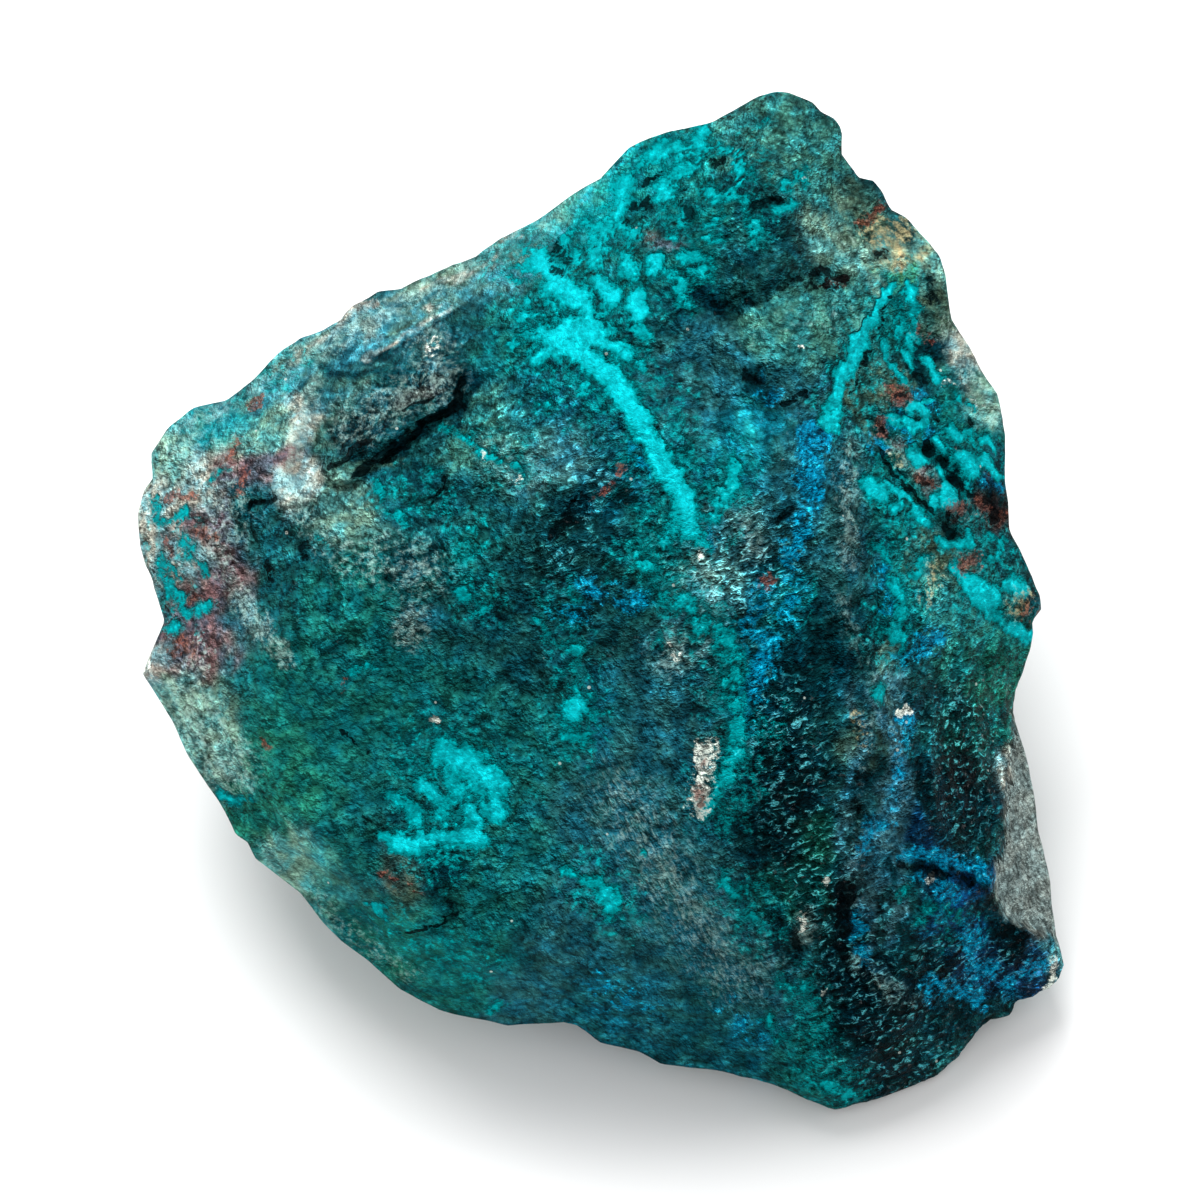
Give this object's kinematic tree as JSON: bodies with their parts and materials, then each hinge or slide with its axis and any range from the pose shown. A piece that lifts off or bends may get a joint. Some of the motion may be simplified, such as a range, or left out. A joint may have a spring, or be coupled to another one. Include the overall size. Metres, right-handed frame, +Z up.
{
  "type": "chrysocolla specimen",
  "caption": "Rough hand-size piece of chrysocolla, a wedge of fracture faces with turquoise veins, that lies on its flat underside.",
  "frame": {"origin": "on the plane the stone rests on, below the middle of its bounding box", "axes": "+Z up with the stone lying on its flat underside, -Y towards the veined front, which leans back, +X to the right of someone facing that front"},
  "size_m": [0.0654, 0.0618, 0.0442],
  "materials": {
    "stone": "rough fracture, dull to waxy, with turquoise, blue and green mineral"
  },
  "bodies": {
    "root": {"chrysocolla": "stone"}
  },
  "joints": []
}
